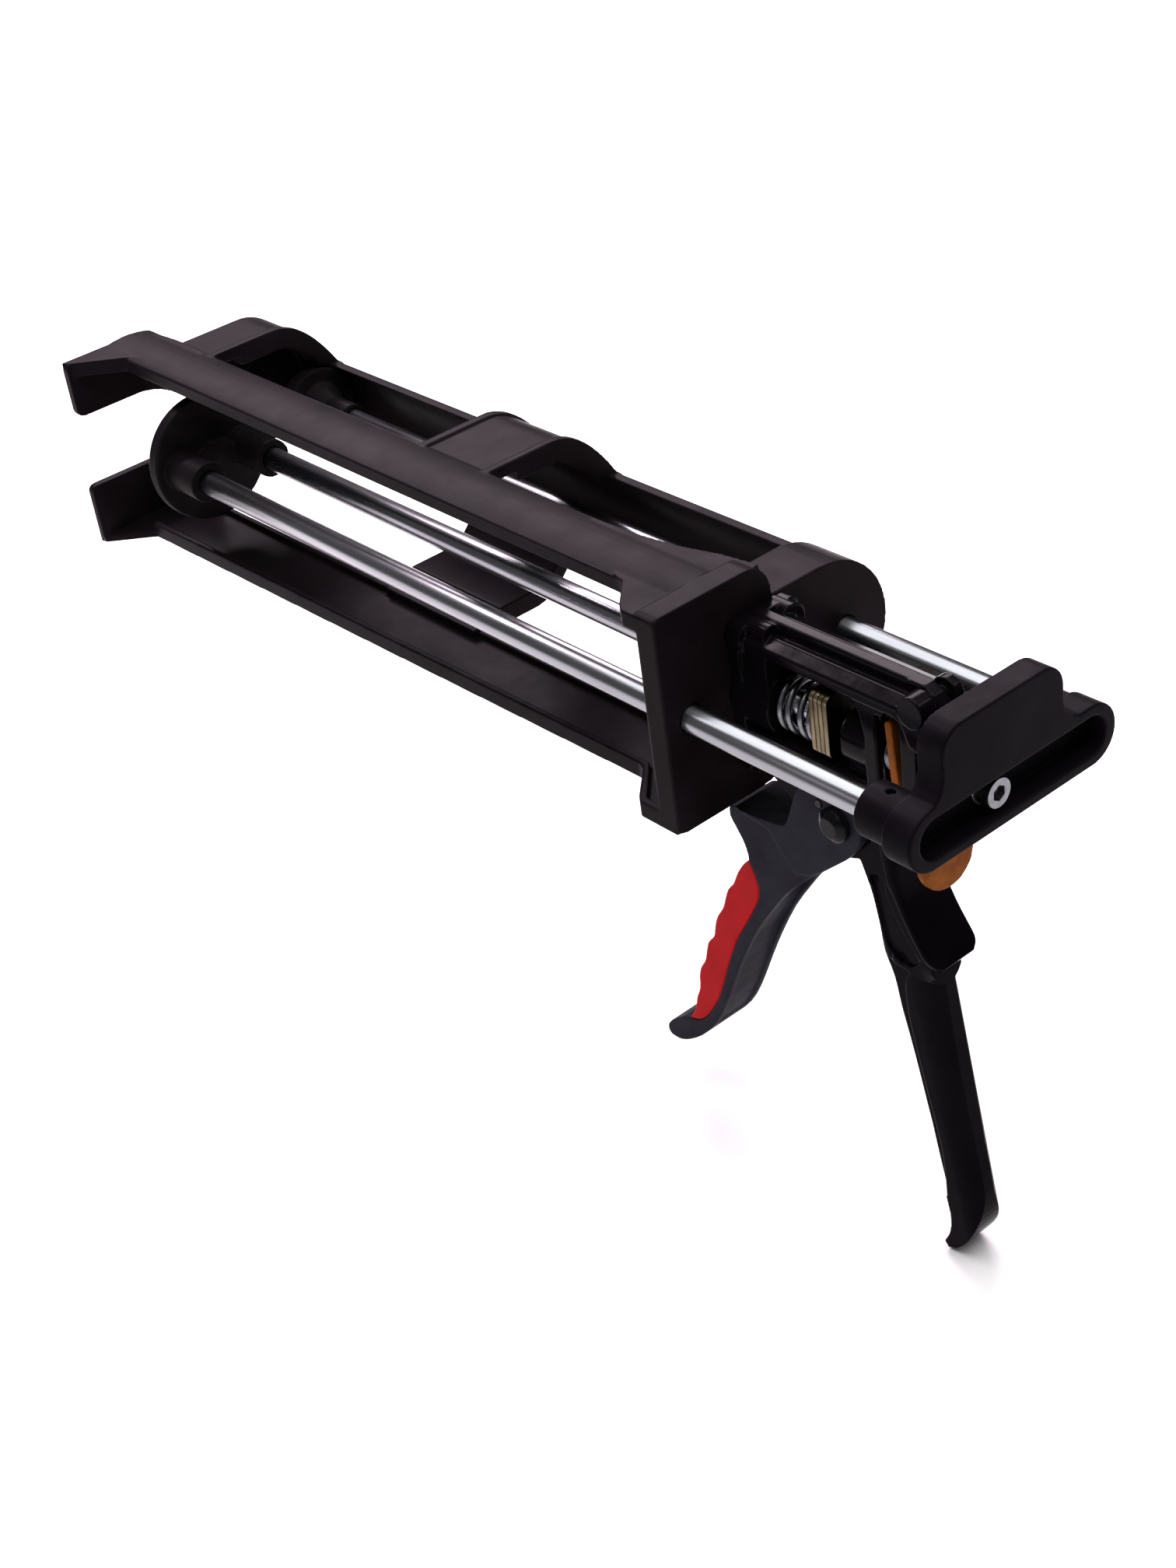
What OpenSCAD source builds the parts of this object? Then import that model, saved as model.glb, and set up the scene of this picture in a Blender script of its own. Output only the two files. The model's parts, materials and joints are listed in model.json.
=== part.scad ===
// Two-component hand dispensing gun: open cradle, lever body, ratchet plates and three push rods.
// X runs along the rods, the rear end is +X. The origin is on the centre rod at the cradle's rear face.

/* [Rods] */
// Diameter of all three push rods
rod_d = 8; // [6:0.5:10]
// Sideways position of the left push rod
left_y = -24.2; // [-30:0.1:-18]
// Sideways position of the right push rod
right_y = 35; // [30:0.5:40]
// Gap between a rod and the holes it slides in
rod_gap = 0.06; // [0.02:0.01:0.1]

/* [Cradle] */
// Position of the cradle's front wall
front_x = -301; // [-340:1:-260]
// Thickness of the cradle's rails
rail_t = 3.2; // [2:0.1:5]
// Outer face of the rail on the small cartridge's side
far_y = 51.4; // [46:0.1:56]

/* [Plungers] */
// Diameter of the large plunger disc
large_d = 44.4; // [40:0.1:50]
// Diameter of the small plunger disc
small_d = 28; // [18:0.1:30]
// Position of both plungers along the rods
plunger_x = -257.5; // [-290:0.5:-200]

/* [Trigger] */
// Pivot position along the rods
pivot_x = 37.5; // [30:0.5:45]
// Pivot height
pivot_z = -26; // [-32:0.5:-20]
// Half width of the trigger
trig_w = 8.5; // [7:0.1:10]

/* [Drive] */
// Thickness of one drive plate
plate_t = 1.6; // [1:0.1:2.5]
// Rear face of the stack of drive plates
plate_x = 36.6; // [34:0.1:40]

/* [Quality] */
// Segments used for round surfaces
quality = 48; // [24:4:96]

/* [Hidden] */
$fn = quality;
rr = rod_d / 2;
hole_r = rr + rod_gap;
big_y = -12.1;

// Helpers: a 2D shape in (y, z) swept along X, and a 2D shape in (x, z) swept along Y
module along_x(x0, x1) translate([x0, 0, 0]) rotate([90, 0, 90]) linear_extrude(x1 - x0) children();
module along_y(y0, y1) translate([0, y1, 0]) rotate([90, 0, 0]) linear_extrude(y1 - y0) children();
module along_z(z0, z1) translate([0, 0, z0]) linear_extrude(z1 - z0) children();
module xcyl(x0, x1, y, z, r) translate([x0, y, z]) rotate([0, 90, 0]) cylinder(r = r, h = x1 - x0);
module ycyl(y0, y1, x, z, r) translate([x, y1, z]) rotate([90, 0, 0]) cylinder(r = r, h = y1 - y0);
module rrect(x0, y0, x1, y1, r) {
  translate([x0 + r, y0]) square([x1 - x0 - 2 * r, y1 - y0]);
  translate([x0, y0 + r]) square([x1 - x0, y1 - y0 - 2 * r]);
  translate([x0 + r, y0 + r]) circle(r);
  translate([x1 - r, y0 + r]) circle(r);
  translate([x0 + r, y1 - r]) circle(r);
  translate([x1 - r, y1 - r]) circle(r);
}
// Smooth curve through a list of points
function cr(a, b, c, d, t) = 0.5 * ((2 * b) + (c - a) * t + (2 * a - 5 * b + 4 * c - d) * t * t
  + (3 * b - a - 3 * c + d) * t * t * t);
function spline(p, n) = [for (i = [0 : len(p) - 2]) for (k = [0 : n - 1])
  cr(p[max(i - 1, 0)], p[i], p[i + 1], p[min(i + 2, len(p) - 1)], k / n), p[len(p) - 1]];

// ---- cradle ----
// Quarter ellipse from the flat top at height h down to the far side
function lobe(h, out, n) = [for (i = [0 : n]) let (a = 90 - 90 * i / n, yf = far_y - h * 1.04 + out)
  [yf + (far_y + out - yf) * cos(a), (h + out) * sin(a)]];
module near_lobe() {
  rrect(-33.5, -34, 8.5, 34.5, 9);
  rrect(-33.5, -34, -10, 34.5, 2.5);
}
module far_lobe(o) {
  polygon(concat([[0, 0], [0, 23.5 + o]], lobe(23.5, o, 14)));
  mirror([0, 1]) polygon(concat([[0, 0], [0, 21 + o]], lobe(21, o, 14)));
}
module rail_profile() {
  difference() {
    intersection() {
      translate([big_y, 0]) circle(34.5);
      translate([-22, 20]) square([20, 20]);
    }
    intersection() {
      translate([big_y, 0]) circle(34.5 - rail_t);
      translate([-19.8, 0]) square([15.6, 40]);
    }
    translate([-23, 0]) square([22, 28.6]);
  }
}
// Plan of the curved end of the front walls, back to the front band
front_plan = [[front_x, -14], [front_x + 0.7, -10], [front_x + 3.1, -6.4], [front_x + 6.3, -4.2],
  [front_x + 11.5, -2.8], [front_x + 19.5, -2.1], [-277.4, -2]];
module front_curve() polygon(concat(front_plan, [[-277.4, -5], [front_x + 19.5, -5.1], [front_x + 12.2,
  -5.8],
  [front_x + 8, -7], [front_x + 5.6, -8.8], [front_x + 4, -11.4], [front_x + 3.4, -14]]));
module carriage() color([0.1, 0.09, 0.095]) {
  difference() {
    union() {
      along_x(-8, 0) near_lobe();
      along_x(-7, 0) far_lobe(0);
      along_x(-18.5, -6) difference() {
        far_lobe(0);
        far_lobe(-3.2);
        translate([-2, -40]) square([8, 80]);
      }
      // top rail, its widened rear end and its front hook
      along_x(front_x, -1) rail_profile();
      along_z(30.6, 33.6) polygon([[-28, -21.9], [-25, -22.4], [-16.2, -31.2], [-13, -33.5], [-1, -33.5],
        [-1, 6], [-14, 4], [-26, 0.5], [-42, -2], [-60, -3]]);
      along_z(28.4, 32) polygon([[-27, -22], [-24.4, -22.6], [-15.6, -31.6], [-13, -33.5], [-7, -33.5],
        [-7, -31], [-13.5, -31], [-25.5, -19.6], [-27, -19.6]]);
      along_z(31, 33.8) polygon(concat([[-262, -2.4], [-285, -22], [-297.5, -36], [front_x, -38]],
        front_plan));
      along_z(28.6, 32) polygon([[-285, -22], [-298, -36.6], [-300, -34.5], [-287, -20], [-285, -20]]);
      along_x(front_x, front_x + 3.4) rrect(-38, 14, -11, 33.8, 2.4);
      along_z(14, 33) front_curve();
      // bottom rail, its foot and its front hook
      along_z(-34.2, -31) polygon([[-299, -26], [-31, -20.5], [-28, -21.6], [-18.5, -31.5], [-16, -33.5],
        [-1, -33.5], [-1, 6], [-14, 4], [-30, 0.5], [-60, -1], [-299, -1]]);
      along_z(-32, -28.6) polygon([[-287, -25.8], [-31, -20.5], [-28, -21.6], [-18.5, -31.5], [-16, -33.5],
        [-7, -33.5], [-7, -31], [-15.5, -31], [-28.5, -18.4], [-287, -23.6]]);
      along_z(-32, -29) polygon([[-287, -3.2], [-20, -1.2], [-20, 1], [-287, -1]]);
      along_z(-34.2, -31.6) polygon(concat([[-262, -2.4], [-285, -25], [-298, -39.6], [front_x,
        -40.2]], front_plan));
      along_x(front_x, front_x + 3.4) rrect(-40.2, -34.2, -11, -12, 2.4);
      along_z(-33, -12) front_curve();
      // far rail and the bands and lobes that carry it
      along_x(-280.5, -6) intersection() {
        difference() {
          translate([right_y, 0]) circle(17.1);
          translate([right_y, 0]) circle(15);
        }
        translate([38, -13.5]) square([30, 27]);
      }
      along_x(-142.5, -108) upper_band(32.6, 0);
      along_x(-142.5, -139.2) upper_band(32.6, 0.9);
      along_x(-111.2, -108) upper_band(32.6, 0.9);
      along_x(-176, -129) mirror([0, 1]) upper_band(31.4, 0);
      along_x(-280.5, -258.6) upper_band(32.6, 0);
      along_x(-261.6, -258.6) upper_band(32.6, 1);
      along_x(-281.5, -277.1) difference() {
        union() {
          band_solid(32.6, 0);
          intersection() {
            mirror([0, 1]) band_solid(31.4, 0);
            translate([20, -13.5]) square([40, 14]);
          }
        }
        translate([-40, -20]) square([55, 34]);
        translate([-10, -40]) square([5.6, 80]);
      }
    }
    // round recess in the end plate and a fine groove along the top rail's near side
    xcyl(-278.7, -270, 30, 8.5, 11.6);
    along_x(front_x - 1, -28) translate([-22.5, 31.2]) square([0.95, 0.45]);
    xcyl(-20, 5, left_y, 0, rr + 0.35);
    xcyl(-20, 5, 0, 0, rr + 0.35);
    xcyl(-20, 5, right_y, 0, rr + 0.35);
    for (p = [[-5, 18.6], [8.4, 18.6], [-6, -18], [8.4, -18]]) {
      xcyl(-20, 5, p[0], p[1], 2.2);
      xcyl(-20, -5.4, p[0], p[1], 4.4);
    }
  }
}
// Cross band: flat from the centre rail, then down to the far rail
function band_pts(h, o) = [[20, h + o], [25, h - 0.3 + o], [30 + o * 0.5, h - 2.1 + o * 0.8],
  [34 + o * 0.7, h - 5 + o * 0.7], [38 + o * 0.8, h - 9.2 + o * 0.6], [42 + o, h - 14.6 + o * 0.3],
  [44.8 + o, h - 18.8], [46.8 + o, 12], [48.8 + o, 7.5], [50.3 + o, 3], [far_y - 0.3 + o, 0]];
module band_solid(h, o) polygon(concat([[-3.5, -1], [-3.5, h + o]], spline(band_pts(h, o), 3),
  [[far_y - 0.3 + o, -1]]));
module upper_band(h, o) difference() {
  band_solid(h, o);
  translate([-6, -2]) square([2.4, 60]);
  band_solid(h - rail_t, -rail_t);
  translate([-10, -2]) square([30, 12.5]);
  translate([-6, -2]) square([14, h - rail_t + 2]);
  translate([right_y, 0]) circle(15);
}
module carriage_screws() color([0.6, 0.6, 0.62])
  for (p = [[-5, 18.6], [8.4, 18.6], [-6, -18], [8.4, -18]]) difference() {
    union() {
      xcyl(-5.4, 7.4, p[0], p[1], 1.95);
      xcyl(-7.6, -5.4, p[0], p[1], 3.9);
    }
    xcyl(-8, -6.4, p[0], p[1], 1.4);
  }

// ---- body casting with the fixed grip ----
grip_front = [[41.5, -38], [43.3, -42.5], [45.3, -48], [47.2, -57], [49.2, -66], [52, -76.5], [55, -89],
  [58.2, -105.5], [63, -131], [66.6, -148], [67.6, -154], [66.8, -160], [64.6, -164.6]];
flange_front = [[40.4, -39.6], [42.4, -44.4], [44.2, -50], [45.8, -58], [47.2, -67.2], [50.2, -74.4],
  [52.2, -84],
  [54.6, -93.2], [56.8, -102.2], [60.2, -117.4], [63.2, -130]];
grip_rear = [[66, -166.4], [69.8, -164.4], [74.2, -158.6], [77.2, -151], [77.9, -143.5], [77, -135],
  [74.6, -121], [72, -105], [69.2, -86], [67.4, -73], [65.8, -62], [62.4, -52], [59, -42], [56.4, -32]];
module grip_outline() polygon(concat(spline(grip_front, 3), spline(grip_rear, 3), [[56.4, -24], [40,
  -24]]));
module guard_outline() polygon(concat(spline([[55, -20], [56.6, -30], [58.8, -41], [63.4, -50.5],
  [70.8, -61.2]], 5),
  [[69.4, -63], [67.5, -62.6]], spline([[62, -54], [56.6, -44], [53.6, -33], [52, -20]], 4)));
module body_casting() color([0.06, 0.06, 0.065]) {
  difference() {
    union() {
      // front flange and screw bosses
      along_x(0, 4.5) rrect(-9.5, -24, 14, 23, 3);
      xcyl(0, 6, -5, 18.6, 5);
      xcyl(0, 8, 8.4, 18.6, 4.6);
      xcyl(0, 6, -6, -18, 4.6);
      xcyl(0, 6, 8.4, -18, 4.6);
      // guide cylinder around the rod and its bracing
      xcyl(0, 15, 0, 0, 10.4);
      along_x(3, 14) rrect(-8.6, 2, 8.6, 18, 2);
      xcyl(5, 13, -4.4, 21, 3.2);
      // top beam
      along_x(3, 66) polygon([[-9, 16.8], [-9, 19.2], [-8.6, 19.6], [-5.2, 21.4], [-4.6, 21.4], [-3.2,
        20.4],
        [-2.3, 20.6], [-2, 23.7], [-1.6, 24.1], [1.6, 24.1], [2, 23.7], [2.3, 20.6], [3.2, 20.4], [4.6,
          21.4],
        [5.2, 21.4], [8.6, 19.6], [9, 19.2], [9, 16.8], [6.6, 14.6], [-6.6, 14.6]]);
      along_y(-9, 9) polygon([[60, 19.2], [67, 19.2], [71, 17], [72, 13], [71, 9.6], [68.4, 8.2],
        [65.6, 9.4],
        [64.4, 12.5], [63, 15.5], [60, 16.5]]);
      along_y(-2.2, 2.2) polygon([[60, 20], [60, 24.1], [65, 24.1], [68.6, 22.4], [71.4, 19], [72.6,
        14], [72, 9],
        [68, 8], [66, 12]]);
      ycyl(-9.2, -3.4, 66.8, 20, 4.4);
      ycyl(3.4, 6.4, 67.2, 20.2, 4.4);
      ycyl(-9.2, 6.4, 67, 20.2, 2.2);
      // rear wall behind the release lever
      along_y(-8.2, 8.2) polygon([[61.8, 17], [67, 17], [67.4, 8], [66.6, -8.5], [63, -8.5], [61.8, -5]]);
      // side posts, guide boss and lower beam
      for (s = [-1, 1]) along_y(s > 0 ? 6.4 : -8.8, s > 0 ? 8.8 : -6.4)
        polygon([[45.5, 17], [48.2, 12], [49.4, 6], [49.4, -9], [54, -9], [54, 4], [55, 12], [57.5, 17]]);
      xcyl(40.4, 53.4, 0, 0, 8.8);
      along_x(0, 55.5) rrect(-9, -12.4, 9, -8.4, 1.2);
      along_y(-5.9, 5.9) polygon([[0, -9], [0, -22], [8.5, -23.4], [17, -29.6], [24, -36], [37.5, -39.5],
        [41.6, -38], [46, -34], [56.4, -30], [56.4, -9]]);
      along_x(40.4, 53.4) translate([-6.4, -10]) square([12.8, 10]);
      // neck, guard and grip
      along_y(-5.9, 5.9) grip_outline();
      along_y(-4.7, 4.7) polygon(concat(spline(flange_front, 3), [[74, -134], [62, -60], [52, -38]]));
      intersection() {
        along_y(-9.4, 9.4) guard_outline();
        along_x(40, 90) rrect(-9.4, -63.2, 9.4, -15, 4.2);
      }
      for (s = [-5.9, 5.9]) {
        ycyl(s - 0.5, s + 0.5, 45.8, -43.5, 1.3);
        ycyl(s - 0.5, s + 0.5, 53.4, -66.6, 1.6);
        ycyl(s - 0.5, s + 0.5, 61.5, -61, 1.2);
      }
    }
    // rod bore with a relief between the two guides
    xcyl(-5, 80, 0, 0, hole_r);
    xcyl(60, 80, 0, 0, rr + 1);
    // tapped holes for the cradle screws
    for (p = [[-5, 18.6], [8.4, 18.6], [-6, -18], [8.4, -18]]) xcyl(-1, 7.6, p[0], p[1], 2);
    // window for the spring and the plates, open on both sides
    along_y(-20, 20) rrect(15, -8.4, 40.4, 14.6, 0.8);
    // slot for the plates' tails and for the trigger's finger
    along_y(-4.3, 4.3) polygon([[18.5, -8], [18.5, -18], [25, -33.5], [47.5, -33.5], [47.5, -16.5],
      [45, -9.6],
      [40.5, -8], [40.5, -6]]);
    along_y(-4.3, 4.3) polygon([[8, -30], [25, -33.5], [47.5, -33.5], [47, -37], [40, -45], [8, -45]]);
    // curved slots in the side walls for the trigger's pin
    along_y(-20, 20) translate([pivot_x, pivot_z]) polygon(concat(
      [for (a = [138 : 5 : 198]) [5.7 * cos(a), 5.7 * sin(a)]],
      [for (a = [198 : -5 : 138]) [9.4 * cos(a), 9.4 * sin(a)]]));
    // clear space for the release lever
    along_y(-20, 20) rrect(54, -13, 61.8, 14.6, 0.4);
    // pivot hole
    ycyl(-20, 20, pivot_x, pivot_z, 3.02);
    // side recesses of the neck, and the step beside the grip's front flange
    for (s = [-1, 1]) {
      along_y(s > 0 ? 4.9 : -8, s > 0 ? 8 : -4.9) polygon(spline([[45.2, -41], [49.4, -41], [50.8, -47.5],
        [55.6, -55.6], [61, -62.4], [60, -65.2], [57.4, -66.6], [52.6, -64.8], [49.8, -62.4], [47.8, -54],
        [45.2, -41]], 3));
      along_y(s > 0 ? 4.7 : -8, s > 0 ? 8 : -4.7) polygon(concat([[40, -67.4], [50, -67.4]],
        spline([[57.6, -69.2], [55.7, -72.6], [55.5, -78], [56.3, -86], [59, -99], [62, -112], [65, -125],
        [66.2, -134], [66.6, -146]], 3), [[58, -146]]));
    }
  }
}

// ---- trigger ----
t_front = [[-7.5, -40.2], [-7.9, -43.4], [-5.8, -46.6], [-3.2, -50.6], [-2, -54], [-1.6, -57], [-0.1,
  -60.2],
  [1.3, -64.6], [0.9, -68.8], [-1, -73], [-6.2, -82], [-11, -90], [-16, -101.4], [-19.4, -110.4], [-23,
    -118.6],
  [-26.8, -125], [-30.2, -129.6], [-33.8, -132.6], [-38, -134]];
t_lip = [[-41.5, -135.2], [-46.2, -138.6], [-49.4, -142], [-49.9, -144.4], [-48.4, -146.2], [-44, -145.9],
  [-39.4, -143.4], [-33.6, -138.8], [-27, -131.4], [-21.4, -122], [-15.2, -108.4], [-9.4, -96.2],
    [-1.9, -82.4],
  [5.7, -71.4], [12.8, -62], [20.2, -54.6], [29.6, -46.3], [39.3, -37.8], [43, -33.6]];
t_top = [[45.6, -29.4], [46, -25], [44.4, -20.6], [41, -17.6], [36.5, -16.2], [30, -15.8], [26, -16.4],
  [22.4, -21.5], [19.6, -28], [17.6, -33.2], [15.6, -36.4],
  [9, -37.6], [2, -38.6], [-4.6, -39]];
// Front face of the soft pad, with finger grooves
p_out = [[-2.2, -57], [-4.8, -59.6], [-7.9, -64.2], [-10.2, -69], [-12.8, -72.2], [-14.4, -75.8],
  [-16.2, -80.6],
  [-19.2, -85.2], [-20.8, -89.4], [-22, -94], [-24.9, -97.6], [-26.3, -101.6], [-27.6, -106], [-30.1, -110],
  [-31.3, -114], [-31.9, -119], [-33.8, -123.4], [-35, -128], [-36.6, -131.2], [-38.4, -134]];
pad_seat = spline(t_front, 2);
pad_back = [for (i = [36 : -1 : 10]) pad_seat[i] + [-0.03, 0]];
module trigger_outline() polygon(concat(spline(t_front, 2), spline(t_lip, 2), spline(t_top, 3)));
module trigger() color([0.2, 0.2, 0.215]) {
  difference() {
    union() {
      along_y(-trig_w, trig_w) trigger_outline();
      // raised cheek plates around the pivot
      for (s = [-1, 1]) along_y(s > 0 ? trig_w - 0.5 : -trig_w - 0.8, s > 0 ? trig_w + 0.8 : -trig_w + 0.5)
        polygon(concat([[9, -40.6], [13, -46.4], [18.2, -51.6], [24.6, -49.6], [30.4, -45.2], [39.3, -37.8],
          [43, -33.6]], spline(t_top, 3)));
      // finger that pushes the drive plates
    }
    // the hollow rear side
    along_y(-trig_w + 2.3, trig_w - 2.3) polygon([[3.2, -60.5], [4.4, -66], [2.6, -71.4], [-3.6, -82],
      [-8.4, -90],
      [-13.2, -101], [-16.6, -109.6], [-20.2, -117.8], [-23.6, -124.4], [-27.4, -130.6], [-29, -135],
        [-22, -140],
      [60, -80], [60, -10], [15.4, -10], [15.4, -41], [6, -47.6], [2.6, -54]]);
    // notch behind the nose
    along_y(-4.5, 20) polygon([[8.6, -35.6], [8.6, -37.9], [18.5, -37.9], [18.5, -35.6]]);
    ycyl(-20, 20, pivot_x, pivot_z, 3.07);
    ycyl(-20, 20, 30.8, -22.6, 1.27);
  }
  difference() {
    along_y(-3.9, 3.9) polygon([[37.6, -12.6], [40.6, -11.4], [43.6, -15], [45.2, -20], [45.6, -26],
      [43, -31.6],
      [37.5, -33], [31, -31], [27.8, -26.6], [28, -21], [30.4, -19.4], [35, -19.6], [37, -17.5]]);
    ycyl(-20, 20, pivot_x, pivot_z, 3.07);
    ycyl(-20, 20, 30.8, -22.6, 1.27);
  }
}
module trigger_pad() color([0.84, 0.13, 0.14])
  along_y(-8.3, 8.3) polygon(concat(spline(p_out, 3), pad_back));
module trigger_rivet() color([0.05, 0.05, 0.05]) {
  ycyl(-9.6, 9.6, pivot_x, pivot_z, 3);
  for (s = [-1, 1]) intersection() {
    translate([pivot_x, s * 6.2, pivot_z]) sphere(7.4);
    ycyl(s > 0 ? 9.45 : -13, s > 0 ? 13 : -9.45, pivot_x, pivot_z, 5.2);
  }
}
module striker_pin() color([0.4, 0.4, 0.42]) ycyl(-9.6, 9.6, 30.8, -22.6, 1.25);

// ---- drive plates and spring ----
module drive_plate(i) along_x(plate_x - i * (plate_t + 0.06) - plate_t,
  plate_x - i * (plate_t + 0.06)) difference() {
  union() {
    rrect(-9, -6.8, 9, 12.6, 2.4);
    translate([-3.8, -16.4]) square([7.6, 14]);
  }
  circle(rr + 0.12);
}
module drive_plate_1() color([0.72, 0.6, 0.3]) drive_plate(0);
module drive_plate_2() color([0.7, 0.58, 0.28]) drive_plate(1);
module drive_plate_3() color([0.74, 0.62, 0.32]) drive_plate(2);
module drive_plate_4() color([0.7, 0.59, 0.3]) drive_plate(3);
// Coil spring along X: closed end coils and open turns between them, one swept tube
module helix(x0, x1, r, w, turns, n, m) {
  last = turns * n;
  closed = n;
  rise = (x1 - x0 - 2 * w - 4.1 * w) / (last - 2 * closed);
  flat = 2.05 * w / closed;
  function xa(i) = x0 + w + flat * min(i, closed) + rise * max(0, min(i, last - closed) - closed)
    + flat * max(0, i - last + closed);
  pts = [for (i = [0 : last]) for (k = [0 : m - 1]) let (a = 360 * i / n, b = 360 * k / m)
    [xa(i) + w * sin(b), (r + w * cos(b)) * cos(a), (r + w * cos(b)) * sin(a)]];
  sides = [for (i = [0 : last - 1]) for (k = [0 : m - 1]) let (j = (k + 1) % m)
    [i * m + k, (i + 1) * m + k, (i + 1) * m + j, i * m + j]];
  ends = [[for (k = [0 : m - 1]) k], [for (k = [m - 1 : -1 : 0]) last * m + k]];
  polyhedron(points = pts, faces = concat(sides, ends), convexity = 10);
}
module drive_spring() color([0.7, 0.71, 0.73]) helix(15.05, 29.9, 7.6, 0.95, 4, 20, 8);

// ---- release lever ----
module release_lever() color([0.78, 0.5, 0.24]) difference() {
  union() {
    ycyl(-8.4, 8.4, 58.25, 12.4, 1.34);
    intersection() {
      along_y(-10.4, 10.4) polygon([[56.96, 12.4], [59.55, 12.4], [61.2, -13.4], [68.5, -23.6], [69.3,
        -37.3],
        [67.1, -37.3], [66.4, -24.4], [58.6, -14], [57.75, 0]]);
      union() {
        along_x(50, 80) rrect(-8.4, -16, 8.4, 13.4, 2);
        along_x(50, 80) rrect(-9.8, -37.3, 9.8, -18, 9.2);
        along_x(50, 80) translate([-8.4, -26]) square([16.8, 14]);
      }
    }
  }
  xcyl(50, 80, 0, 0, rr + 0.62);
}
module release_washer() color([0.75, 0.1, 0.12]) translate([57.72, 0, 0]) rotate([0, -3.6,
  0]) difference() {
  xcyl(-1.3, -0.02, 0, 0, 7);
  xcyl(-3, 2, 0, 0, rr + 0.6);
}
module release_spring() color([0.75, 0.76, 0.78]) helix(53.5, 56.0, 6.1, 0.3, 3, 20, 8);

// ---- push rods, yoke and plungers ----
module push_rod(x0, x1, y) difference() {
  union() {
    xcyl(x0 + 0.6, x1 - 0.6, y, 0, rr);
    translate([x0, y, 0]) rotate([0, 90, 0]) cylinder(r1 = rr - 0.6, r2 = rr, h = 0.6);
    translate([x1 - 0.6, y, 0]) rotate([0, 90, 0]) cylinder(r1 = rr, r2 = rr - 0.6, h = 0.6);
  }
  xcyl(x0 - 1, x0 + 9, y, 0, 1.65);
}
module centre_rod() color([0.75, 0.76, 0.78]) difference() {
  push_rod(plunger_x + 1, 81, 0);
  xcyl(68, 90, 0, 0, 2.1);
}
module left_rod() color([0.75, 0.76, 0.78]) difference() {
  push_rod(plunger_x + 1, 80, left_y);
  translate([74, left_y, -20]) cylinder(r = 1.26, h = 40);
}
module right_rod() color([0.75, 0.76, 0.78]) difference() {
  push_rod(plunger_x + 1, 80, right_y);
  translate([74, right_y, -20]) cylinder(r = 1.26, h = 40);
}
yoke_x = 89;
module yoke() color([0.13, 0.13, 0.135]) difference() {
  union() {
    along_x(79.5, yoke_x) rrect(-34.3, -9, 43.4, 9, 8.9);
    xcyl(74.5, 82, 0, 0, 7);
    xcyl(79.5, yoke_x, left_y - 1.1, 0, 9);
    xcyl(67.5, 80, left_y, 0, 7.7);
    xcyl(67.5, 80, right_y, 0, 7.7);
    // pull plate
    along_x(80.5, yoke_x) difference() {
      rrect(-21.2, 0, 23.6, 28.6, 7.4);
      translate([-30, -12]) square([60, 12]);
    }
    along_x(80.5, yoke_x) polygon([[-27.5, 6], [-27.4, 8.6], [-24.5, 9.6], [-22.4, 11.8], [-21.2, 15],
      [-19, 6]]);
    along_x(80.5, yoke_x) polygon([[23.6, 16], [24.6, 12.6], [27, 10.2], [30.5, 8.6], [30, 6], [20, 6]]);
  }
  // recess in the rear face
  along_x(82, yoke_x + 1) rrect(-30.2, -5.9, 39.4, 5.9, 5.8);
  xcyl(50, 80.1, left_y, 0, rr + 0.02);
  xcyl(50, 80.1, right_y, 0, rr + 0.02);
  xcyl(60, 81.05, 0, 0, rr + 0.02);
  xcyl(80, 95, 0, 0, 2.7);
  for (y = [left_y, right_y]) translate([74, y, -0.5]) cylinder(r = 1.26, h = 20);
}
module yoke_washer() color([0.7, 0.71, 0.72]) difference() {
  xcyl(82.02, 82.9, 0, 0, 4.9);
  xcyl(80, 90, 0, 0, 2.7);
}
module yoke_screw() color([0.72, 0.73, 0.75]) difference() {
  union() {
    xcyl(70, 83.2, 0, 0, 2.08);
    xcyl(82.92, 87.6, 0, 0, 4.25);
  }
  translate([85, 0, 0]) rotate([0, 90, 0]) cylinder(r = 2.3, h = 5, $fn = 6);
}
module rod_pins() color([0.2, 0.2, 0.2])
  for (y = [left_y, right_y]) translate([74, y, -3]) cylinder(r = 1.25, h = 9.4);
module large_plunger() color([0.07, 0.07, 0.07]) difference() {
  union() {
    translate([plunger_x - 6, big_y, 0]) rotate([0, 90, 0]) cylinder(r1 = large_d / 2 - 1.2,
      r2 = large_d / 2, h = 1.2);
    xcyl(plunger_x - 4.8, plunger_x, big_y, 0, large_d / 2);
    xcyl(plunger_x - 3, -240.6, left_y, 0, 6.9);
    xcyl(plunger_x - 3, -237.6, 0, 0, 6.6);
    along_x(plunger_x - 1, -252) polygon([[-20, -4.5], [-20, 2], [-12, 5.5], [-3, 4], [-3, -4], [-12, 0]]);
  }
  xcyl(plunger_x + 0.9, -200, left_y, 0, rr + 0.02);
  xcyl(plunger_x + 0.9, -200, 0, 0, rr + 0.02);
  for (y = [left_y, 0]) {
    xcyl(plunger_x - 8, plunger_x + 2, y, 0, 1.7);
    xcyl(plunger_x - 8, plunger_x - 3.6, y, 0, 3.4);
  }
}
module small_plunger() color([0.07, 0.07, 0.07]) difference() {
  union() {
    xcyl(plunger_x - 6, plunger_x, right_y, 0, small_d / 2);
    translate([plunger_x - 0.2, right_y, 0]) rotate([0, 90, 0]) cylinder(r1 = 9.4, r2 = 5.8, h = 8);
    xcyl(plunger_x, -239, right_y, 0, 5.8);
  }
  xcyl(plunger_x + 0.9, -200, right_y, 0, rr + 0.02);
  xcyl(plunger_x - 8, plunger_x + 2, right_y, 0, 1.7);
  xcyl(plunger_x - 8, plunger_x - 3.6, right_y, 0, 3.4);
}
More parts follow.
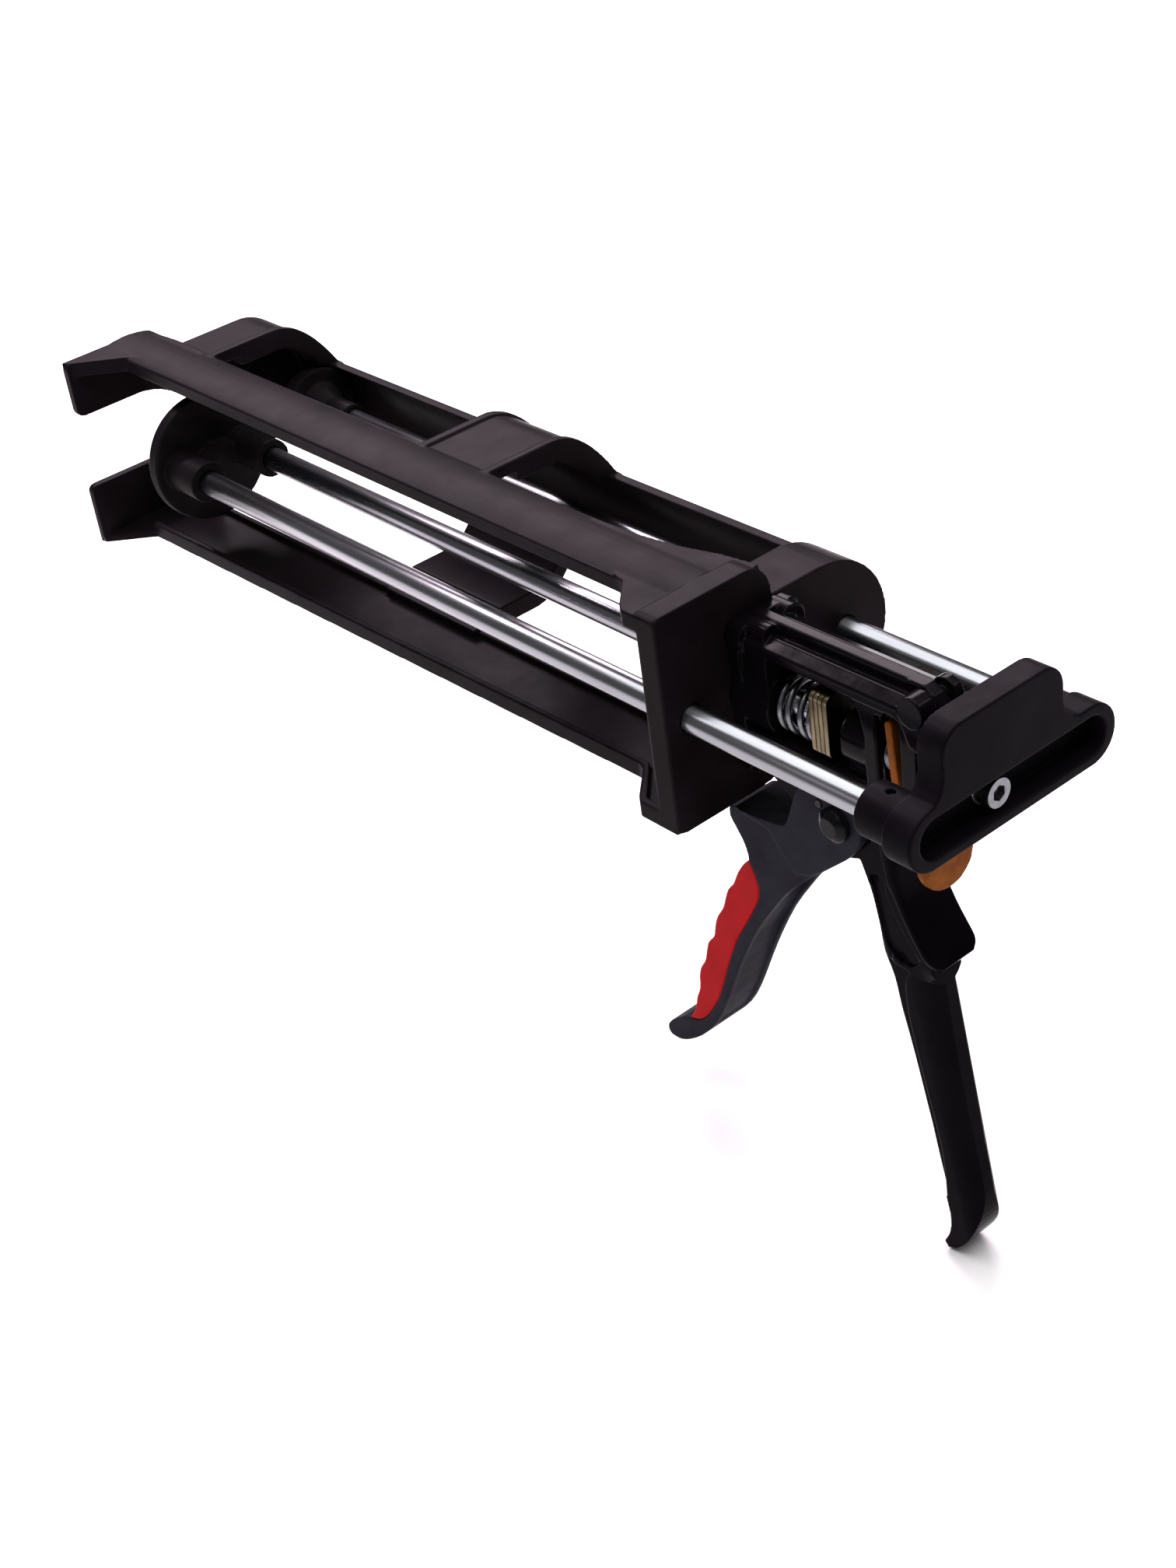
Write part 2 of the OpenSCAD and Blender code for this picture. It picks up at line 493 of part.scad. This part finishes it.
module plunger_screws() color([0.6, 0.6, 0.62]) for (y = [left_y, 0, right_y]) difference() {
  union() {
    xcyl(plunger_x - 3.62, plunger_x + 9.6, y, 0, 1.62);
    xcyl(plunger_x - 5.6, plunger_x - 3.62, y, 0, 3.2);
  }
  translate([plunger_x - 6, y, 0]) rotate([0, 90, 0]) cylinder(r = 1.3, h = 1.6, $fn = 6);
}

carriage();
body_casting();
carriage_screws();
trigger();
trigger_pad();
trigger_rivet();
striker_pin();
drive_plate_1();
drive_plate_2();
drive_plate_3();
drive_plate_4();
drive_spring();
release_lever();
release_washer();
release_spring();
centre_rod();
left_rod();
right_rod();
yoke();
yoke_screw();
yoke_washer();
rod_pins();
large_plunger();
small_plunger();
plunger_screws();
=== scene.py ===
"""Visual model of a two-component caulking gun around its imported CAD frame."""
import json
import math

import bmesh
import bpy
from mathutils import Matrix, Vector


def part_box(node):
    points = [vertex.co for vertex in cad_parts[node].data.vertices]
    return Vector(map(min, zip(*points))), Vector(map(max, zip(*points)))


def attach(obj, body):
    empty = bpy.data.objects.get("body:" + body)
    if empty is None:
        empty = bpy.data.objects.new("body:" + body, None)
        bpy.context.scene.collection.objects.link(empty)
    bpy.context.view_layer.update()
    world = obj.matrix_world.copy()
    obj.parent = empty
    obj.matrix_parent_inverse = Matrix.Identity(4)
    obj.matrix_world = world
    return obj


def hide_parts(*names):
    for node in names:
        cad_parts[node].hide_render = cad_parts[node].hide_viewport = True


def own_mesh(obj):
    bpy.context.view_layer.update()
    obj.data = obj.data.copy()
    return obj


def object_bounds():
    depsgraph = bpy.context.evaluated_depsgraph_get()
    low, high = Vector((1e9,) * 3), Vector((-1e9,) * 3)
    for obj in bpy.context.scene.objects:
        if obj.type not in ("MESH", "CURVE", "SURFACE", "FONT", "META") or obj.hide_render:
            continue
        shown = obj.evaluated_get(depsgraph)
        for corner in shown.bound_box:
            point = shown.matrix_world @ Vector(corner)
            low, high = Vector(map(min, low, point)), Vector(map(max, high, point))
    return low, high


MM = 0.001
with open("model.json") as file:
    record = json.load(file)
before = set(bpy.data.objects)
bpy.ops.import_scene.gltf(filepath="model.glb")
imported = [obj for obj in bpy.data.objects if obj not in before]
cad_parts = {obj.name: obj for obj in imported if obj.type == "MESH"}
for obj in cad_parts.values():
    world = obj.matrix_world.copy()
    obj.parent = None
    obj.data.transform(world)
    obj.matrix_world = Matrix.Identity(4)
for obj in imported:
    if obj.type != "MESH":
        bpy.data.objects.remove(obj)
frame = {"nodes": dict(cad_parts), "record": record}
cad_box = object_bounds()
nodes = frame["nodes"]
bodies = frame["record"]["behaviour"]["bodies"]
body_of = {n: b for b, members in bodies.items() for n in members}
slot_of = {s["node"]: s["material_slot"] for s in frame["record"]["subparts"]}
scene = bpy.context.scene
scene.view_settings.view_transform = "Standard"


# ---- materials ----
def new_material(name):
    mat = bpy.data.materials.new(name)
    mat.use_nodes = True
    tree = mat.node_tree
    shader = tree.nodes["Principled BSDF"]
    place = tree.nodes.new("ShaderNodeTexCoord").outputs["Object"]
    return mat, tree, shader, place


def noise(tree, place, scale, detail=4.0, rough=0.55, stretch=(1, 1, 1)):
    mapping = tree.nodes.new("ShaderNodeMapping")
    mapping.inputs["Scale"].default_value = stretch
    tree.links.new(place, mapping.inputs["Vector"])
    tex = tree.nodes.new("ShaderNodeTexNoise")
    tex.inputs["Scale"].default_value = scale
    tex.inputs["Detail"].default_value = detail
    tex.inputs["Roughness"].default_value = rough
    tree.links.new(mapping.outputs["Vector"], tex.inputs["Vector"])
    return tex.outputs["Fac"]


def ramp(tree, fac, stops):
    node = tree.nodes.new("ShaderNodeValToRGB")
    elements = node.color_ramp.elements
    while len(elements) < len(stops):
        elements.new(0.5)
    for element, (at, colour) in zip(elements, stops):
        element.position = at
        element.color = (*colour, 1)
    tree.links.new(fac, node.inputs["Fac"])
    return node.outputs["Color"]


def spread(tree, fac, low, high, start=0.3, end=0.7):
    """Maps start..end to low..high."""
    node = tree.nodes.new("ShaderNodeMapRange")
    node.inputs["From Min"].default_value = start
    node.inputs["From Max"].default_value = end
    node.inputs["To Min"].default_value = low
    node.inputs["To Max"].default_value = high
    tree.links.new(fac, node.inputs["Value"])
    return node.outputs["Result"]


def position(tree, axis):
    """One coordinate of the point in the frame at rest, in metres."""
    split = tree.nodes.new("ShaderNodeSeparateXYZ")
    tree.links.new(tree.nodes["Texture Coordinate"].outputs["Object"], split.inputs["Vector"])
    return split.outputs[axis]


def bump(tree, shader, heights):
    """Chains bumps: (height socket, distance in metres, strength)."""
    last = None
    for height, distance, strength in heights:
        node = tree.nodes.new("ShaderNodeBump")
        node.inputs["Distance"].default_value = distance
        node.inputs["Strength"].default_value = strength
        tree.links.new(height, node.inputs["Height"])
        if last is not None:
            tree.links.new(last, node.inputs["Normal"])
        last = node.outputs["Normal"]
    tree.links.new(last, shader.inputs["Normal"])


WAVE_SCALE = 90
STREAK_SCALE = 900
ROUGH_TO_COLOUR = 2.3  # how much finer the roughness patches are than the colour's
ALONG_X = (0.04, 1, 1)


def surface(name, dark, light, rough, metallic=0.0, coat=0.0, spec=0.015, patch=60,
            grain=1500, grain_depth=0.00003, wave=0.0, stretch=(1, 1, 1), streak=0.0):
    """Colour drifts between two tones and roughness in patches; fine grain, waves and streaks along X
    are bumps, with their depths in metres."""
    mat, tree, shader, place = new_material(name)
    shader.inputs["Metallic"].default_value = metallic
    shader.inputs["Coat Weight"].default_value = coat
    shader.inputs["Coat Roughness"].default_value = 0.1
    shader.inputs["Specular IOR Level"].default_value = spec
    drift = noise(tree, place, patch, 5.0, 0.6, stretch)
    colour = ramp(tree, drift, [(0.32, dark), (0.68, light)])
    tree.links.new(colour, shader.inputs["Base Color"])
    patches = noise(tree, place, patch * ROUGH_TO_COLOUR, 6.0, 0.65, stretch)
    tree.links.new(spread(tree, patches, rough[0], rough[1]), shader.inputs["Roughness"])
    heights = [(noise(tree, place, grain, 3.0, 0.5), grain_depth, 0.6)]
    if wave:
        heights.append((noise(tree, place, WAVE_SCALE, 2.0, 0.5), wave, 0.5))
    if streak:
        heights.append((noise(tree, place, STREAK_SCALE, 4.0, 0.6, ALONG_X), streak, 0.6))
    bump(tree, shader, heights)
    return mat


materials = {
    "cradle_black": surface("cradle_black", (0.0050, 0.0036, 0.0045), (0.0095, 0.0068, 0.0084),
                            (0.30, 0.42), patch=35, grain=2600, grain_depth=0.00002, wave=0.00012),
    "casting_black": surface("casting_black", (0.0022, 0.0017, 0.0023), (0.0042, 0.0033, 0.0044),
                             (0.12, 0.22), patch=60, grain=900,
                             grain_depth=0.00001, wave=0.00022),
    "trigger_grey": surface("trigger_grey", (0.013, 0.013, 0.018), (0.021, 0.021, 0.029),
                            (0.44, 0.56), patch=70, grain=3200, grain_depth=0.00004),
    "red_rubber": surface("red_rubber", (0.33, 0.0020, 0.0036), (0.42, 0.0032, 0.0056),
                          (0.40, 0.52), patch=90, grain=3000, grain_depth=0.00005, spec=0.03),
    "rivet_black": surface("rivet_black", (0.0035, 0.0035, 0.004), (0.0065, 0.0065, 0.0075),
                           (0.10, 0.15), coat=0.02, patch=200, grain=1800, wave=0.00004,
                           spec=0.06),
    "dark_steel": surface("dark_steel", (0.012, 0.012, 0.013), (0.024, 0.024, 0.026), (0.3, 0.45),
                          metallic=0.6, patch=300, grain=2500),
    "yellow_zinc": surface("yellow_zinc", (0.10, 0.080, 0.046), (0.26, 0.215, 0.130), (0.26, 0.42),
                           metallic=1.0, patch=260, grain=2500, streak=0.00004,
                           stretch=(1.6, 1.0, 0.35)),
    "zinc_steel": surface("zinc_steel", (0.12, 0.123, 0.134), (0.22, 0.224, 0.240), (0.26, 0.40),
                          metallic=1.0, patch=320, grain=2200, grain_depth=0.00002),
    "copper_plate": surface("copper_plate", (0.115, 0.030, 0.003), (0.22, 0.066, 0.008), (0.30, 0.46),
                            metallic=0.35, patch=180, grain=2400, grain_depth=0.00003),
    "red_washer": surface("red_washer", (0.50, 0.02, 0.05), (0.64, 0.04, 0.09), (0.3, 0.42),
                          patch=300, grain=2500),
    "bright_steel": surface("bright_steel", (0.21, 0.214, 0.232), (0.31, 0.315, 0.334), (0.20, 0.30),
                            metallic=1.0, patch=160, grain_depth=0.000001, streak=0.000006,
                            stretch=(0.06, 1, 1)),
    "yoke_black": surface("yoke_black", (0.0032, 0.0025, 0.0036), (0.0062, 0.0048, 0.0068),
                          (0.36, 0.48), patch=60, grain=2800, grain_depth=0.00004),
    "plunger_black": surface("plunger_black", (0.0050, 0.0042, 0.0048), (0.0095, 0.0080, 0.0092),
                             (0.34, 0.48), patch=80, grain=2600, grain_depth=0.00003,
                             wave=0.00008),
}


# The casting is glossier around the mechanism than on the handled grip
DULL_BELOW, GLOSSY_ABOVE = -30 * MM, -8 * MM
tree = materials["casting_black"].node_tree
tree.links.new(spread(tree, position(tree, "Z"), 0.012, 0.032, DULL_BELOW, GLOSSY_ABOVE),
               tree.nodes["Principled BSDF"].inputs["Specular IOR Level"])

# Painted shade darkens the seams between the drive plates, standing in for the shadow in the gaps
# between them: 0 in a plate's middle, 0.5 at a seam
PLATE_REAR = 36.63
PLATE_PITCH = 1.66
SEAM_SHADE_START, SEAM_SHADE_FULL = 0.36, 0.47
# Colour of the painted seam shade, multiplied into the plates' base colour
SEAM_SHADE_TINT = (0.10, 0.08, 0.06, 1)
tree = materials["yellow_zinc"].node_tree
shader = tree.nodes["Principled BSDF"]
value = position(tree, "X")
for operation, operand in (("SUBTRACT", PLATE_REAR * MM), ("DIVIDE", PLATE_PITCH * MM), ("FRACT", 0),
                           ("SUBTRACT", 0.5), ("ABSOLUTE", 0)):
    step = tree.nodes.new("ShaderNodeMath")
    step.operation = operation
    tree.links.new(value, step.inputs[0])
    step.inputs[1].default_value = operand
    value = step.outputs[0]
# Multiplies the base colour by the painted seam shade towards each seam
mix = tree.nodes.new("ShaderNodeMix")
mix.data_type = "RGBA"
mix.blend_type = "MULTIPLY"
tree.links.new(spread(tree, value, 0.0, 1.0, SEAM_SHADE_START, SEAM_SHADE_FULL), mix.inputs[0])
tree.links.new(shader.inputs["Base Color"].links[0].from_socket, mix.inputs[6])
mix.inputs[7].default_value = SEAM_SHADE_TINT
tree.links.new(mix.outputs[2], shader.inputs["Base Color"])


# ---- helpers ----
SMOOTH_FACTOR = 0.5
LEAST_WEIGHT = 0.01


def finish_piece(obj, node):
    """Gives a piece its material, body and slot, and lets it stand for its CAD node."""
    obj.data.materials.clear()
    obj.data.materials.append(materials[slot_of[node]])
    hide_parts(node)
    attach(obj, body_of[node])
    return obj


def mesh_object(name, mesh):
    obj = bpy.data.objects.new(name, mesh)
    scene.collection.objects.link(obj)
    return obj


def apply_modifiers(obj):
    depsgraph = bpy.context.evaluated_depsgraph_get()
    mesh = bpy.data.meshes.new_from_object(obj.evaluated_get(depsgraph))
    obj.modifiers.clear()
    old = obj.data
    obj.data = mesh
    bpy.data.meshes.remove(old)
    for polygon in mesh.polygons:
        polygon.use_smooth = True
    return obj


def moulded(node, voxel, rounds):
    """A cast or moulded piece: the CAD shape in voxels (mm), its edges rounded by smoothing."""
    mesh = nodes[node].data.copy()
    obj = mesh_object(node + "_moulded", mesh)
    remesh = obj.modifiers.new("skin", "REMESH")
    remesh.mode = "VOXEL"
    remesh.voxel_size = voxel * MM
    smooth = obj.modifiers.new("edges", "SMOOTH")
    smooth.factor = SMOOTH_FACTOR
    smooth.iterations = rounds
    apply_modifiers(obj)
    return finish_piece(obj, node)


def soften(obj, rounds, weight):
    """Rounds part of a piece further; weight takes a point in mm and gives 0 to 1."""
    group = obj.vertex_groups.new(name="soft")
    for vertex in obj.data.vertices:
        amount = weight(vertex.co.x / MM, vertex.co.y / MM, vertex.co.z / MM)
        if amount > LEAST_WEIGHT:
            group.add((vertex.index,), min(1.0, amount), "REPLACE")
    smooth = obj.modifiers.new("soft", "SMOOTH")
    smooth.factor = SMOOTH_FACTOR
    smooth.iterations = rounds
    smooth.vertex_group = "soft"
    return apply_modifiers(obj)


def fade(value, start, end):
    """Rises evenly from 0 at start to 1 at end."""
    return max(0.0, min(1.0, (value - start) / (end - start)))


def lathe(name, profile, y, z, segments=96):
    """A turned piece about an axis along X at y, z; profile is a list of (x, radius) in mm."""
    bm = bmesh.new()
    rings = []
    for x, r in profile:
        ring = []
        for k in range(segments):
            a = 2 * math.pi * k / segments
            ring.append(bm.verts.new((x * MM, (y + r * math.cos(a)) * MM, (z + r * math.sin(a)) * MM)))
        rings.append(ring)
    for ring, after in zip(rings, rings[1:]):
        for k in range(segments):
            j = (k + 1) % segments
            bm.faces.new((ring[k], ring[j], after[j], after[k]))
    bm.faces.new(rings[0][::-1])
    bm.faces.new(rings[-1])
    bmesh.ops.recalc_face_normals(bm, faces=bm.faces)
    mesh = bpy.data.meshes.new(name)
    bm.to_mesh(mesh)
    bm.free()
    obj = mesh_object(name, mesh)
    for polygon in mesh.polygons:
        polygon.use_smooth = len(polygon.vertices) == 4
    return obj


def coil(name, x0, x1, radius, wire, turns, per_turn=40):
    """A compression spring along X with closed ends, as one swept round wire."""
    last = turns * per_turn
    rise = (x1 - x0 - 2 * wire - 4.1 * wire) / (last - 2 * per_turn)
    flat = 2.05 * wire / per_turn
    curve = bpy.data.curves.new(name, "CURVE")
    curve.dimensions = "3D"
    curve.bevel_depth = wire * MM
    curve.bevel_resolution = 5
    curve.use_fill_caps = True
    spline = curve.splines.new("POLY")
    spline.points.add(last)
    for i in range(last + 1):
        ends = min(i, per_turn) + max(0, i - last + per_turn)
        open_turns = max(0, min(i, last - per_turn) - per_turn)
        x = x0 + wire + flat * ends + rise * open_turns
        a = 2 * math.pi * i / per_turn
        spline.points[i].co = (x * MM, radius * math.cos(a) * MM, radius * math.sin(a) * MM, 1)
    obj = bpy.data.objects.new(name, curve)
    scene.collection.objects.link(obj)
    depsgraph = bpy.context.evaluated_depsgraph_get()
    mesh = bpy.data.meshes.new_from_object(obj.evaluated_get(depsgraph))
    bpy.data.objects.remove(obj)
    for polygon in mesh.polygons:
        polygon.use_smooth = True
    return mesh_object(name, mesh)


# ---- cast and moulded pieces ----
moulded("carriage", 0.40, 4)
body = moulded("body_casting", 0.34, 2)

# The grip's front and rear lines in the XZ plane, and the end of the guard above it, in mm
GRIP_TOP = -66
GRIP_FRONT, GRIP_FRONT_LEAN = 49.2, 0.215
GRIP_REAR, GRIP_REAR_LEAN = 66.3, 0.15
GRIP_FLAT, GRIP_ROUNDING = 0.4, 0.88
NECK_HALF, GUARD_HALF = 5.9, 9.4
GUARD_END = Vector((70.6, -62.0))
GUARD_ALONG = Vector((0.51, -0.86)).normalized()
GUARD_BOW, GUARD_BOW_REACH = 2.6, 14


def grip_front(z):
    return GRIP_FRONT - GRIP_FRONT_LEAN * (z - GRIP_TOP)


for vertex in body.data.vertices:
    x, y, z = vertex.co / MM
    # The grip's rear is rounded like a half ellipse
    depth = GRIP_REAR - GRIP_REAR_LEAN * (z - GRIP_TOP) - grip_front(z)
    round_in = fade((x - grip_front(z)) / depth, GRIP_FLAT, 1) * fade(-z, 64, 70)
    y *= math.sqrt(1 - GRIP_ROUNDING * round_in ** 2)
    # The guard's end is bowed
    to_end = (GUARD_END - Vector((x, z))).dot(GUARD_ALONG)
    if z > GRIP_TOP and abs(y) > NECK_HALF:
        outward = (abs(y) - NECK_HALF) / (GUARD_HALF - NECK_HALF)
        bow = GUARD_BOW * outward ** 2 * fade(-to_end, -GUARD_BOW_REACH, 0)
        x -= GUARD_ALONG.x * bow
        z -= GUARD_ALONG.y * bow
    vertex.co = (x * MM, y * MM, z * MM)
# The guard's edges, the neck's front edge, and the grip's rear edges
soften(body, 50, lambda x, y, z: fade(abs(y), 6.0, 6.8) * fade(x, 55.2, 56.4) * fade(z, -70, -64)
       * fade(-z, 16, 24))
soften(body, 8, lambda x, y, z: fade(-z, 40, 50) * fade(x, 49, 52))
soften(body, 70, lambda x, y, z: fade(x - grip_front(z), 5.5, 8.5) * fade(-z, 66, 70))

# Node: voxel size in mm, rounds of smoothing
MOULDED = {
    "trigger": (0.40, 4),
    "trigger_pad": (0.40, 5),
    "yoke": (0.34, 5),
    "large_plunger": (0.45, 4),
    "small_plunger": (0.40, 4),
    "release_lever": (0.25, 3),
    "release_washer": (0.14, 2),
    "trigger_rivet": (0.20, 3),
    "striker_pin": (0.15, 2),
    "yoke_screw": (0.15, 2),
    "yoke_washer": (0.12, 2),
    "rod_pins": (0.15, 2),
    "carriage_screws": (0.18, 2),
    "plunger_screws": (0.18, 2),
    "drive_plate_1": (0.16, 3),
    "drive_plate_2": (0.16, 3),
    "drive_plate_3": (0.16, 3),
    "drive_plate_4": (0.16, 3),
}
for node, (voxel, rounds) in MOULDED.items():
    moulded(node, voxel, rounds)

# ---- turned rods ----
ROD_CHAMFER = 0.6
for node in ("centre_rod", "left_rod", "right_rod"):
    low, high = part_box(node)
    radius = (high.z - low.z) / 2 / MM
    x0, x1 = low.x / MM, high.x / MM
    profile = [(x0, radius - ROD_CHAMFER), (x0 + ROD_CHAMFER, radius),
               (x1 - ROD_CHAMFER, radius), (x1, radius - ROD_CHAMFER)]
    rod = lathe(node + "_turned", profile, (low.y + high.y) / 2 / MM, 0)
    finish_piece(rod, node)

# ---- springs ----
# Radius to the wire's centre and radius of the wire in mm, and number of turns
DRIVE_COIL = (7.6, 0.95, 4)
RELEASE_COIL = (6.1, 0.36, 3)
low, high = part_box("drive_spring")
drive = coil("drive_spring_wire", low.x / MM, high.x / MM, *DRIVE_COIL)
finish_piece(drive, "drive_spring")
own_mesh(drive)
low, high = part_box("release_spring")
small = coil("release_spring_wire", low.x / MM, high.x / MM, *RELEASE_COIL)
finish_piece(small, "release_spring")
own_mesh(small)

# ---- floor, light and camera ----
FLOOR_GAP = 0.4
bm = bmesh.new()
bmesh.ops.create_grid(bm, x_segments=8, y_segments=8, size=6.0)
floor_mesh = bpy.data.meshes.new("floor")
bm.to_mesh(floor_mesh)
bm.free()
floor = mesh_object("floor", floor_mesh)
floor.location.z = cad_box[0][2] - FLOOR_GAP * MM
floor_mat, tree, shader, place = new_material("floor_pale")
pale = [(0.3, (0.90, 0.90, 0.90)), (0.7, (0.93, 0.93, 0.93))]
tree.links.new(ramp(tree, noise(tree, place, 3.0), pale), shader.inputs["Base Color"])
shader.inputs["Roughness"].default_value = 0.8
shader.inputs["Specular IOR Level"].default_value = 0.2
floor_mesh.materials.append(floor_mat)

world = bpy.data.worlds.new("studio")
scene.world = world
world.use_nodes = True
background = world.node_tree.nodes["Background"]
background.inputs["Color"].default_value = (1, 1, 1, 1)
background.inputs["Strength"].default_value = 0.17


def softbox(name, place, aim, size, power, tint=(1, 1, 1)):
    """A rectangular lamp at place, turned to aim; places in metres, power in watts."""
    lamp = bpy.data.lights.new(name, "AREA")
    lamp.shape = "RECTANGLE"
    lamp.size, lamp.size_y = size
    lamp.energy = power
    lamp.color = tint
    obj = bpy.data.objects.new(name, lamp)
    obj.location = place
    obj.rotation_euler = (Vector(aim) - Vector(place)).to_track_quat("-Z", "Y").to_euler()
    scene.collection.objects.link(obj)


WARM = (1.0, 0.84, 0.94)
softbox("key", (-1.15, 0.80, 0.95), (-0.10, 0, -0.02), (1.3, 0.7), 32, WARM)
softbox("top", (-0.1, 0.1, 1.9), (-0.08, 0, -0.06), (2.4, 2.4), 61)
softbox("side", (0.3, -1.6, 0.9), (-0.08, 0, -0.06), (0.8, 0.5), 1.2, WARM)
softbox("rim", (-1.12, -0.10, 1.11), (-0.08, 0, -0.02), (0.25, 0.15), 16, WARM)
softbox("back_rim", (0.62, 0.60, 0.74), (0.02, 0, -0.02), (0.3, 0.2), 1.5, WARM)

# The camera looks at AIM from DISTANCE along BACK, tilted by ROLL
AIM = Vector((-85.15, 0, -69.76)) * MM
BACK = Vector((0.6788, -0.4925, 0.5446)).normalized()
DISTANCE = 763.31 * MM
ROLL = math.radians(-8.58)
cam_data = bpy.data.cameras.new("camera")
cam_data.lens = 55.8
cam_data.sensor_width = 36
cam_data.sensor_fit = "AUTO"
cam_data.clip_start = 0.01
cam = bpy.data.objects.new("camera", cam_data)
right = Vector((0, 0, 1)).cross(BACK).normalized()
up = BACK.cross(right)
right, up = right * math.cos(ROLL) + up * math.sin(ROLL), up * math.cos(ROLL) - right * math.sin(ROLL)
turn = Matrix((right, up, BACK)).transposed().to_4x4()
cam.matrix_world = Matrix.Translation(AIM + BACK * DISTANCE) @ turn
scene.collection.objects.link(cam)
scene.camera = cam
